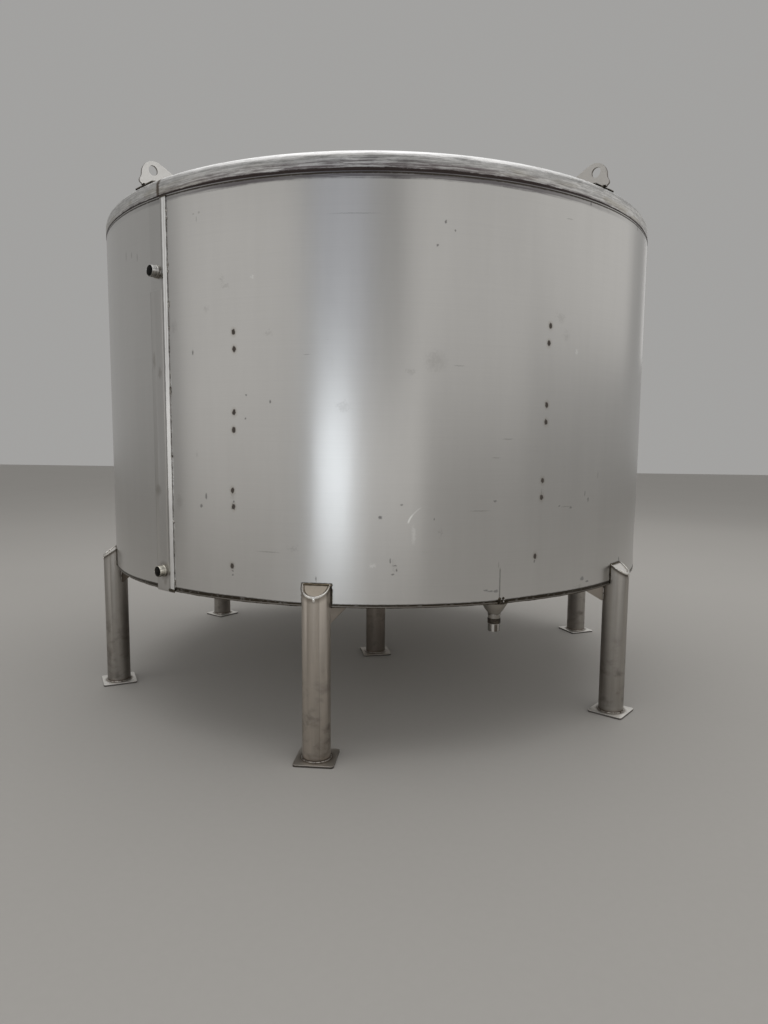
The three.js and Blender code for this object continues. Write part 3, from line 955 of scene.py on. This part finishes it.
shell = {
    "wall": 0.004,
    "sides": 240,
    "rows": 24,
    "pipeHole": 0.0285,
    "cutter": (1.7, 1.85),
    "dent": (-14.0, 0.95, 0.006, 0.3),  # turn, height, depth and reach of the shallow dent near the bottom
    "dentMiddle": 0.05,
}


def cutPipeHole(sheet, height):
    cutter = addTube(shell["pipeHole"], *shell["cutter"], sides=40, ends="NGON")
    cutAway(sheet, moveTo(cutter, (0, 0, height), (0, 90, tank["pipeTurn"])))


def buildShell():
    sheet = addTube(tank["radius"], tank["bottom"], tank["top"], sides=shell["sides"])
    openUp(sheet)
    pickUprights(1)
    bpy.ops.mesh.subdivide(number_cuts=shell["rows"])
    turn, height, depth, reach = shell["dent"]
    middle = polar(tank["radius"], turn, height)
    pick("verts", lambda v: (v.co - middle).length < shell["dentMiddle"])
    bpy.ops.transform.translate(
        value=-polar(depth, turn), use_proportional_edit=True,
        proportional_edit_falloff="SMOOTH", proportional_size=reach)
    closeUp()
    thicken(sheet, shell["wall"])
    for height in tank["pipeHeights"].values():
        cutPipeHole(sheet, height)
    smooth(sheet)
    nodes = ["shell_panel_" + part for part in ("lower", "middle", "upper", "top")]
    nodes += ["shell_sheet_%d" % k for k in range(1, 7)]
    finishPiece(sheet, "tankShell", "shell", "shell", *nodes)


seam = {
    "face": 1.7637,
    "bottom": 0.752,
    "lapTop": 2.765,
    "lapThickness": 0.0062,
    "lapRows": 120,
    "lapEdge": 0.0016,
    "lapUneven": 0.0006,
    "coverTop": 2.312,
    "coverThickness": 0.0046,
    "coverEdge": 0.0012,
    "tacks": (2.69, 2.655, 2.428, 2.395, 2.245, 2.228, 2.12, 1.815, 1.795, 1.47, 1.13, 0.815, 0.79),
    "tackSize": (0.0045, 0.0055, 0.008),
    "tackLonger": 0.003,
    "endTurns": (-118.7, -118.2, -117.75),
    "ends": [(2.762, (0.005, 0.012, 0.005), 40), (0.764, (0.006, 0.013, 0.009), 50)],  # height, size, seed
    "fillets": [  # name, turn, foot and top, size, seed, unevenness
        ("seamFillet", tank["lapTurns"][1] + 0.04, 0.78, 2.74, 0.0012, 8, 0.4),
        ("coverFillet", tank["coverTurns"][0] - 0.03, 0.78, 2.3, 0.0015, 9, 0.3)],
}


def buildSeam():
    face, under = seam["face"], seam["bottom"]
    lap = spunBar(face, face + seam["lapThickness"], *tank["lapTurns"], under, seam["lapTop"], 4)
    openUp(lap)
    pickUprights(1)
    bpy.ops.mesh.subdivide(number_cuts=seam["lapRows"])
    pick("verts", lambda v: v.co.xy.length > face + 0.002)
    bpy.ops.transform.vertex_random(offset=seam["lapUneven"], seed=4)
    closeUp()
    breakEdges(lap, seam["lapEdge"])
    smooth(lap)
    finishPiece(lap, "seamLap", "lap", "seam", "seam_lap")

    cover = spunBar(face, face + seam["coverThickness"], *tank["coverTurns"], under, seam["coverTop"], 8)
    breakEdges(cover, seam["coverEdge"])
    cutPipeHole(cover, tank["pipeHeights"]["Lower"])
    smooth(cover)
    finishPiece(cover, "coverSheet", "cover", "seam", "cover_strip")

    lumps = []
    deep, wide, tall = seam["tackSize"]
    for k, height in enumerate(seam["tacks"]):
        place = polar(tank["radius"] + 0.001, tank["lapTurns"][1] + 0.05, height)
        lumps.append(weldLump(place, (deep, wide, tall + seam["tackLonger"] * (k % 3)), k + 3))
    finishPiece(together(lumps), "seamTacks", "greyWeld", "seam")
    lumps = []
    for k, turn in enumerate(seam["endTurns"]):
        for height, size, seed in seam["ends"]:
            lumps.append(weldLump(polar(tank["radius"] + 0.004, turn, height), size, k + seed))
    finishPiece(together(lumps), "seamEnds", "darkWeld", "seam")
    for name, turn, low, high, size, seed, uneven in seam["fillets"]:
        rows = range(round(low * 50), round(high * 50) + 1)
        line = [polar(tank["radius"] + 0.0005, turn, row / 50) for row in rows]
        finishPiece(layWeld(line, size, 0.012, seed, uneven=uneven), name, "greyWeld", "seam")


head = {
    "flange": 0.052,
    "knee": 0.048,
    "slope": 8.0,
    "sides": 240,
    "steps": 8,
    "wall": 0.004,
    "rings": (1.7, 1.5, 1.2, 0.9, 0.6, 0.3, 0.1, 0),
    "beads": [  # name, height, size, seed, finish and slot of the weld on each end of the shell
        ("rimWeld", tank["top"] - 0.002, 0.0026, 21, "rimWeld", "rim"),
        ("bottomWeld", tank["bottom"] - 0.006, 0.0034, 22, "darkWeld", "bottom")],
}


def headHeight(radius):  # top of the roof cone at a distance from the axis
    slope = radians(head["slope"])
    edge = tank["rimRadius"] - head["knee"] * (1 - sin(slope))
    return tank["top"] + head["flange"] + head["knee"] * cos(slope) + (edge - radius) * tan(slope)


def buildHead():
    knee, rim = head["knee"], tank["top"] + head["flange"]
    profile = [(tank["rimRadius"], tank["top"] + head["flange"] * k / 3) for k in range(3)]
    for k in range(head["steps"] + 1):
        turn = radians(90 - head["slope"]) * k / head["steps"]
        profile.append((tank["rimRadius"] - knee + knee * cos(turn), rim + knee * sin(turn)))
    profile += [(radius, headHeight(radius)) for radius in head["rings"]]
    roof = turnedPiece(profile, head["sides"])
    thicken(roof, head["wall"])
    smooth(roof)
    finishPiece(roof, "roofHead", "head", "rim", "roof_rim", "roof_cone")
    for name, height, size, seed, finish, slot in head["beads"]:
        bead = layWeld(circle(tank["radius"] - 0.0032, height, 720), size, 0.011, seed, True, 0.25)
        finishPiece(bead, name, finish, slot)


bottom = {
    "sides": 240,
    "edge": 0.001,
    "mouth": (0.0615, 0.7, 0.8),  # radius and two ends of the cut over the drain
}


def buildBottom():
    disc = addTube(tank["radius"], tank["under"], tank["bottom"] - 0.0002, sides=bottom["sides"], ends="NGON")
    breakEdges(disc, bottom["edge"])
    cutAway(disc, addTube(*bottom["mouth"], sides=48, at=polar(*tank["drain"]).xy, ends="NGON"))
    smooth(disc)
    finishPiece(disc, "bottomDisc", "bottom", "bottom", "bottom_plate")


buildShell()
buildSeam()
buildHead()
buildBottom()


print("legs")

leg = {
    "wall": 0.004,
    "foot": 0.012,
    "blank": 0.95,  # top of a ring leg's tube before its slope is cut
    "edge": 0.0005,
    "sides": 64,
    "turns": (-90, -30, 30, 90, 150, 210),
}


def addLeg(top, x):
    tube = addTube(tank["legRadius"], leg["foot"], top, sides=leg["sides"], at=(x, 0))
    thicken(tube, leg["wall"])
    return tube


def buildLegTubes():
    ring, slope = tank["legRing"], radians(tank["legSlope"])
    tube = addLeg(leg["blank"], ring)
    cutAway(tube, addTube(tank["radius"] + 0.0008, tank["under"] + 0.0002, 1.2, sides=720, ends="NGON"))
    trim(tube, (ring, 0, mitreHeight(ring)), (sin(slope), 0, cos(slope)))
    middle = addLeg(tank["under"], 0)
    for piece in (tube, middle):
        breakEdges(piece, leg["edge"], 1, 60)
        smooth(piece)
    finishCopies(tube, "legTube", "tube", "leg", leg["turns"], "leg")
    finishPiece(middle, "legTubeCentre", "tube", "leg", "leg_centre")
    for k in range(1, 7):
        dress(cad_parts["leg_cap_%d" % k], "cap")


foot = {
    "size": (0.2, 0.2, 0.012),
    "corner": 0.014,
    "edge": 0.0012,
    "turns": (3, -1, 0, 0, 0, 4),
    "centreTurn": 18.7,
}


def buildFeet():
    plate = addPlate(foot["size"], foot["edge"], foot["corner"])
    smooth(plate)
    half = foot["size"][2] / 2
    middle = another(plate, foot["centreTurn"], (0, 0, half))
    finishPiece(middle, "footPlateCentre", "foot", "leg_plate", "foot_plate_centre")
    place = {"shift": (tank["legRing"], 0, half), "ownTurns": foot["turns"]}
    finishCopies(plate, "footPlate", "foot", "leg_plate", leg["turns"], "foot_plate", **place)


legWeld = {
    "foot": {"size": 0.0038, "pitch": 0.007, "uneven": 0.16, "closed": True},
    "footRing": (0.0722, 0.0148),  # radius and height
    "cap": {"size": 0.009, "pitch": 0.014, "uneven": 0.1, "ends": 0.22},
    "capRadius": 0.0662,
    "capReach": 98,
    "drip": (0.005, 0.0085, 0.014),
    "dripHeight": 0.81,
    "wall": {"size": 0.0041, "pitch": 0.008},
    "wallRadius": 1.7645,
    "wallFoot": 0.766,
    "wallTop": 0.8705,
}


def capPath():  # the mitred rim of the leg on +X, from side to side
    points = []
    for k in range(49):
        turn = radians(legWeld["capReach"] * (k / 24 - 1))
        x = tank["legRing"] + legWeld["capRadius"] * cos(turn)
        points.append((x, legWeld["capRadius"] * sin(turn), mitreHeight(x)))
    return points


def wallPath():  # up one side of the leg on +X, over it on the shell, and down the other side
    side, out = tank["weldSide"], legWeld["wallRadius"]
    rise = [(out - 0.001, side, legWeld["wallFoot"] + 0.1 * k / 8) for k in range(9)]
    over = [(side - 0.004) * (1 - k / 8) for k in range(17)]
    points = rise + [((out ** 2 - y ** 2) ** 0.5, y, legWeld["wallTop"] + 0.001 * sin(900 * y)) for y in over]
    return points + [(x, -y, z) for x, y, z in reversed(rise)]


def buildLegWelds():
    ring = tank["legRing"]
    for k, turn in enumerate(leg["turns"]):
        footBead = layWeld(circle(*legWeld["footRing"], 60, ring), seed=31 + k, **legWeld["foot"])
        rim = layWeld(capPath(), seed=61 + k, **legWeld["cap"])
        place = (ring + tank["legRadius"] - 0.0005, 0.005, legWeld["dripHeight"])
        capBead = together([rim, weldLump(place, legWeld["drip"], 71 + k)])
        wallBead = layWeld(wallPath(), seed=81 + k, **legWeld["wall"])
        for bead, name, finish, slot in (
                (footBead, "footWeld", "footWeld", "leg_plate"),
                (capBead, "capWeld", "brightWeld", "leg"),
                (wallBead, "wallWeld", "wallWeld", "leg")):
            moveTo(bead, turns=(0, 0, turn))
            finishPiece(bead, "%s%d" % (name, k + 1), finish, slot)
    middle = layWeld(circle(*legWeld["footRing"], 60), seed=37, **legWeld["foot"])
    finishPiece(middle, "footWeldCentre", "footWeld", "leg_plate")


gusset = {
    "depth": 0.103,
    "length": 0.168,
    "toe": 0.012,
    "thickness": 0.008,
    "edge": 0.0009,
    "bead": 0.0028,
    "sides": (-35, 43, -60, -35, 43, -60),
    "burnt": 5,  # the left one is painted dark all over, as painted shade
}


def buildGussets():
    start, length, depth, toe = tank["legRadius"] + 0.0002, gusset["length"], gusset["depth"], gusset["toe"]
    plate = addBlock((length, gusset["thickness"], depth), (start + length / 2, 0, tank["under"] - depth / 2))
    trim(plate, (start + toe, 0, tank["under"] - depth), (depth - toe, 0, toe - length))
    breakEdges(plate, gusset["edge"], sharper=25)
    smooth(plate, 25)
    top = tank["under"] - 0.0015
    beads = []
    for side in (-1, 1):
        y = side * (gusset["thickness"] / 2 + 0.001)
        path = [(start + 0.003, y, top - depth * 0.96), (start + 0.003, y, top), (start + length, y, top)]
        beads.append(layWeld(path, gusset["bead"], 0.007, 90 + side))
    place = {"shift": (tank["legRing"], 0, 0), "ownTurns": [180 + side for side in gusset["sides"]]}
    odd = {gusset["burnt"]: "shadedGusset"}
    finishCopies(plate, "gusset", "gusset", "gusset", leg["turns"], "gusset", odd=odd, **place)
    finishCopies(together(beads), "gussetWeld", "greyWeld", "gusset", leg["turns"], **place)


buildLegTubes()
buildFeet()
buildLegWelds()
buildGussets()


print("lugs, nozzles and drain")

lug = {
    "thickness": 0.012,
    "edge": 0.0014,
    "eye": (1.688, 2.953, 0.0255),
    "outline": [  # from the outer foot over the head, as distance from the axis and height
        (1.753, 2.874), (1.765, 2.886), (1.754, 2.916), (1.749, 2.948), (1.737, 2.971), (1.718, 2.989),
        (1.694, 2.999), (1.665, 3.000), (1.637, 2.991), (1.588, 2.967)],
    "inner": 1.475,
    "outer": 1.753,
    "lift": 0.0079,  # of its foot over the roof
    "beadStops": (1.48, 1.55, 1.62, 1.69, 1.748),
    "bead": 0.0042,
    "pad": (0.29, 0.184, 0.007),
    "padEdge": 0.0016,
    "padCorner": 0.008,
    "padBead": 0.004,
    "padOuter": 1.743,
    "litCopy": 0,  # the lug left of the front is painted brighter, as painted light
}


def addLoop(curve, points, sharp=()):  # sharp are the numbers of the points that stay corners
    loop = curve.splines.new("BEZIER")
    loop.bezier_points.add(len(points) - 1)
    loop.use_cyclic_u = True
    for k, (point, place) in enumerate(zip(loop.bezier_points, points)):
        point.co = place
        point.handle_left_type = point.handle_right_type = "VECTOR" if k in sharp else "AUTO"


def drawLug():
    inner, outer = lug["inner"], lug["outer"]
    low, high = headHeight(outer) + lug["lift"], headHeight(inner) + lug["lift"]
    points = [(inner, high + 0.01), (inner, high), (outer, low), *lug["outline"]]
    curve = bpy.data.curves.new("lug", "CURVE")
    curve.dimensions = "2D"
    curve.fill_mode = "BOTH"
    curve.extrude = lug["thickness"] / 2
    curve.resolution_u = 8
    addLoop(curve, [(x, z, 0) for x, z in points], (0, 1, 2, 3, len(points) - 1))
    x, z, radius = lug["eye"]
    addLoop(curve, circle(radius, 0, 8, x, z))
    plate = moveTo(fromCurve(curve), turns=(90, 0, 0))
    facesOut(plate)
    breakEdges(plate, lug["edge"])
    smooth(plate, 30)
    return plate


def buildLugs():
    plate = drawLug()
    length, width, _ = lug["pad"]
    outer, inner, half = lug["padOuter"], lug["padOuter"] - length, width / 2
    middle = outer - length / 2
    pad = addPlate(lug["pad"], lug["padEdge"], lug["padCorner"], 3)
    moveTo(pad, (middle, 0, headHeight(middle) + 0.0041), (0, head["slope"], 0))
    smooth(pad, 40)
    edge = [(x, y, headHeight(x) + 0.001) for x, y in (
        (inner, -half), (inner, half), (outer - 0.01, half), (outer - 0.002, half - 0.01),
        (outer - 0.002, 0.01 - half), (outer - 0.01, -half), (inner, -half))]
    beads = [layWeld(edge, lug["padBead"], 0.009, 101)]
    for side in (-1, 1):
        y = side * (lug["thickness"] / 2 + 0.001)
        line = [(x, y, headHeight(x) + 0.009) for x in lug["beadStops"]]
        beads.append(layWeld(line, lug["bead"], 0.009, 103 + side))
    bead = together(beads)
    turns = tank["lugTurns"]
    finishCopies(plate, "liftingLug", "lug", "lug", turns, "lifting_lug", odd={lug["litCopy"]: "litLug"})
    finishCopies(pad, "lugPad", "pad", "lug", turns, "lug_pad")
    finishCopies(bead, "lugWeld", "darkWeld", "lug", turns)


nozzle = {
    "profile": [  # from the tank outwards: distance from the pipe's own axis, and from the tank's
        (0.02625, 1.753), (0.03015, 1.753), (0.03015, 1.766), (0.032, 1.768), (0.0326, 1.773),
        (0.032, 1.778), (0.0306, 1.78), (0.03015, 1.782), (0.03015, 1.8075), (0.0292, 1.8092),
        (0.0275, 1.8095), (0.02625, 1.808), (0.02625, 1.753)],
    "bead": 0.0034,
    "beadRing": (0.0315, 1.7655),  # distance from the pipe's own axis, and from the tank's
}


def buildNozzles():
    for name, height in tank["pipeHeights"].items():
        pipe = turnedPiece(nozzle["profile"])
        bead = layWeld(circle(*nozzle["beadRing"], 45), nozzle["bead"], 0.008, int(height * 100), True)
        for piece in (pipe, bead):
            moveTo(piece, (0, 0, height), (0, 90, tank["pipeTurn"]))
        smooth(pipe)
        finishPiece(pipe, "nozzle" + name, "nozzle", "pipe", "nozzle_" + name.lower())
        finishPiece(bead, "nozzleWeld" + name, "greyWeld", "pipe")


drain = {
    "pipe": 0.03015,
    "bore": 0.02625,
    "coneFoot": 0.693,
    "coneCurve": ((0.046, 0.715), (0.0345, 0.7005)),
    "pipeFoot": 0.605,
    "collar": (0.033, 0.645, 0.671),  # radius, foot and top
    "neckRing": (0.0312, 0.6915),
    "neckBead": 0.003,
    "topBead": 0.005,
    "lumps": 18,
    "lumpSeed": 5,
    "lumpTurn": (-0.1, 0.6),
    "lumpFoot": 0.764,
    "lumpRise": 0.009,
    "lumpSize": (0.006, 0.013),
}


def buildDrain():
    wide, pipe, bore = tank["legRadius"], drain["pipe"], drain["bore"]
    top, neck, end = tank["under"], drain["coneFoot"], drain["pipeFoot"]
    cone = turnedPiece([
        (wide - 0.004, top), (wide, top), (wide - 0.0005, top - 0.006), *drain["coneCurve"],
        (pipe + 0.0012, neck + 0.001), (pipe, neck), (bore, neck), (bore, neck + 0.004), (wide - 0.004, top)])
    stub = turnedPiece([
        (bore, neck), (pipe, neck), (pipe, end + 0.002), (pipe - 0.0008, end + 0.0005), (pipe - 0.002, end),
        (bore + 0.001, end), (bore, end + 0.001), (bore, neck)])
    radius, low, high = drain["collar"]
    collar = turnedPiece([
        (pipe + 0.0001, low), (radius - 0.0012, low), (radius, low + 0.0015), (radius, high - 0.0015),
        (radius - 0.0012, high), (pipe + 0.0001, high), (pipe + 0.0001, low)])
    neckWeld = layWeld(circle(*drain["neckRing"], 45), drain["neckBead"], 0.006, 121, True)
    topWeld = layWeld(circle(wide, top - 0.002, 45), drain["topBead"], 0.009, 122, True, 0.4)
    for piece in (cone, stub, collar, neckWeld, topWeld):
        moveTo(piece, polar(*tank["drain"]))
    for piece in (cone, stub, collar):
        smooth(piece, 30)
    finishPiece(cone, "drainCone", "cone", "pipe", "drain_cone")
    finishPiece(stub, "drainPipe", "drain", "pipe", "drain_pipe")
    finishPiece(collar, "drainCollar", "collar", "collar", "drain_collar")
    finishPiece(neckWeld, "drainNeckWeld", "greyWeld", "pipe")
    finishPiece(topWeld, "drainTopWeld", "darkWeld", "pipe")
    dice = random.Random(drain["lumpSeed"])
    lumps = {"darkWeld": [], "rimWeld": []}
    for k in range(drain["lumps"]):  # metal spattered where the cone's weld runs up the shell
        turn = tank["drain"][1] + dice.gauss(*drain["lumpTurn"])
        height = drain["lumpFoot"] + abs(dice.gauss(0, drain["lumpRise"]))
        size = dice.uniform(*drain["lumpSize"])
        place = polar(tank["radius"] - 0.0007, turn, height)
        lump = weldLump(place, (size * 0.4, size * 0.8, size * 0.7), 130 + k)
        lumps["rimWeld" if k % 4 == 3 else "darkWeld"].append(lump)
    for k, (finish, made) in enumerate(lumps.items()):
        finishPiece(together(made), "drainLumps%d" % (k + 1), finish, "pipe")


buildLugs()
buildNozzles()
buildDrain()


print("floor, lights and camera")

studio = {
    "background": (0.362, 0.358, 0.35),
    "lights": [  # name, place, aimed at, width, height, watts, colour
        ("bandFront", (-0.95, -9.8, 1.05), (0.1, -1.7, 1.05), 2.15, 1.8, 33, (0.87, 0.935, 1.0)),
        ("coolUpper", (-0.5, -9.9, 4.8), (0, -1.7, 2.4), 3.4, 4.4, 8.5, (0.62, 0.72, 1.0)),
        ("overhead", (0.0, 0.5, 9.5), (0, 0.5, 0), 12.0, 10.0, 340, (1.0, 1.0, 1.0)),
        ("softLeft", (-5.4, -6.3, 2.9), (0, 0, 1.9), 7.6, 5.6, 38, (1.0, 0.98, 0.95)),
        ("softLow", (2.3, -9.9, 1.1), (0, 0, 1.1), 4.4, 2.2, 16, (1.0, 0.99, 0.97)),
        ("softMiddle", (6.6, -6.9, 4.4), (0, 0, 2.0), 8.4, 5.3, 38.5, (1.0, 0.98, 0.95)),
        ("softRight", (8.9, 1.0, 5.0), (0, 0, 2.0), 9.8, 4.5, 44, (1.0, 0.98, 0.95)),
        ("softBack", (4.5, 8.8, 4.6), (0, 0, 1.5), 2.8, 3.2, 13, (1.0, 0.99, 0.97)),
    ],
}


def buildStudio():
    clearSelection()
    bpy.ops.mesh.primitive_plane_add(size=60, location=(0, 0, 0))
    ground = bpy.context.object
    ground.name = "floor"
    ground.data.materials.append(finishFloor().material)
    world = bpy.data.worlds.new("studio")
    world.use_nodes = True
    world.node_tree.nodes["Background"].inputs["Color"].default_value = (*studio["background"], 1)
    bpy.context.scene.world = world
    for name, place, aim, wide, high, watts, colour in studio["lights"]:
        data = bpy.data.lights.new(name, "AREA")
        data.shape = "RECTANGLE"
        data.size, data.size_y = wide, high
        data.energy = watts
        data.color = colour
        lamp = bpy.data.objects.new(name, data)
        bpy.context.collection.objects.link(lamp)
        lamp.location = place
        lamp.rotation_euler = (Vector(aim) - Vector(place)).to_track_quat("-Z", "Y").to_euler()
        lamp.visible_camera = False
    bpy.context.scene.view_settings.view_transform = "Standard"


cameraSet = {
    "place": (0.8193, -5.0043, 1.5696),
    "heading": 98.67,
    "down": 5.97,
    "roll": 0.41,
    "lens": 24.77,
    "sensor": 36.0,
}


def buildCamera():
    heading, down, roll = cameraSet["heading"], radians(cameraSet["down"]), radians(cameraSet["roll"])
    forward = polar(cos(down), heading, -sin(down))
    level = polar(1, heading - 90)
    above = level.cross(forward)
    right = level * cos(roll) + above * sin(roll)
    up = right.cross(forward)
    turn = Matrix((right, up, -forward)).transposed()
    data = bpy.data.cameras.new("camera")
    data.lens = cameraSet["lens"]
    data.sensor_width = cameraSet["sensor"]
    camera = bpy.data.objects.new("camera", data)
    bpy.context.collection.objects.link(camera)
    camera.location = cameraSet["place"]
    camera.rotation_euler = turn.to_euler()
    bpy.context.scene.camera = camera


buildStudio()
buildCamera()
clearSelection()
bpy.context.view_layer.update()
print("done")
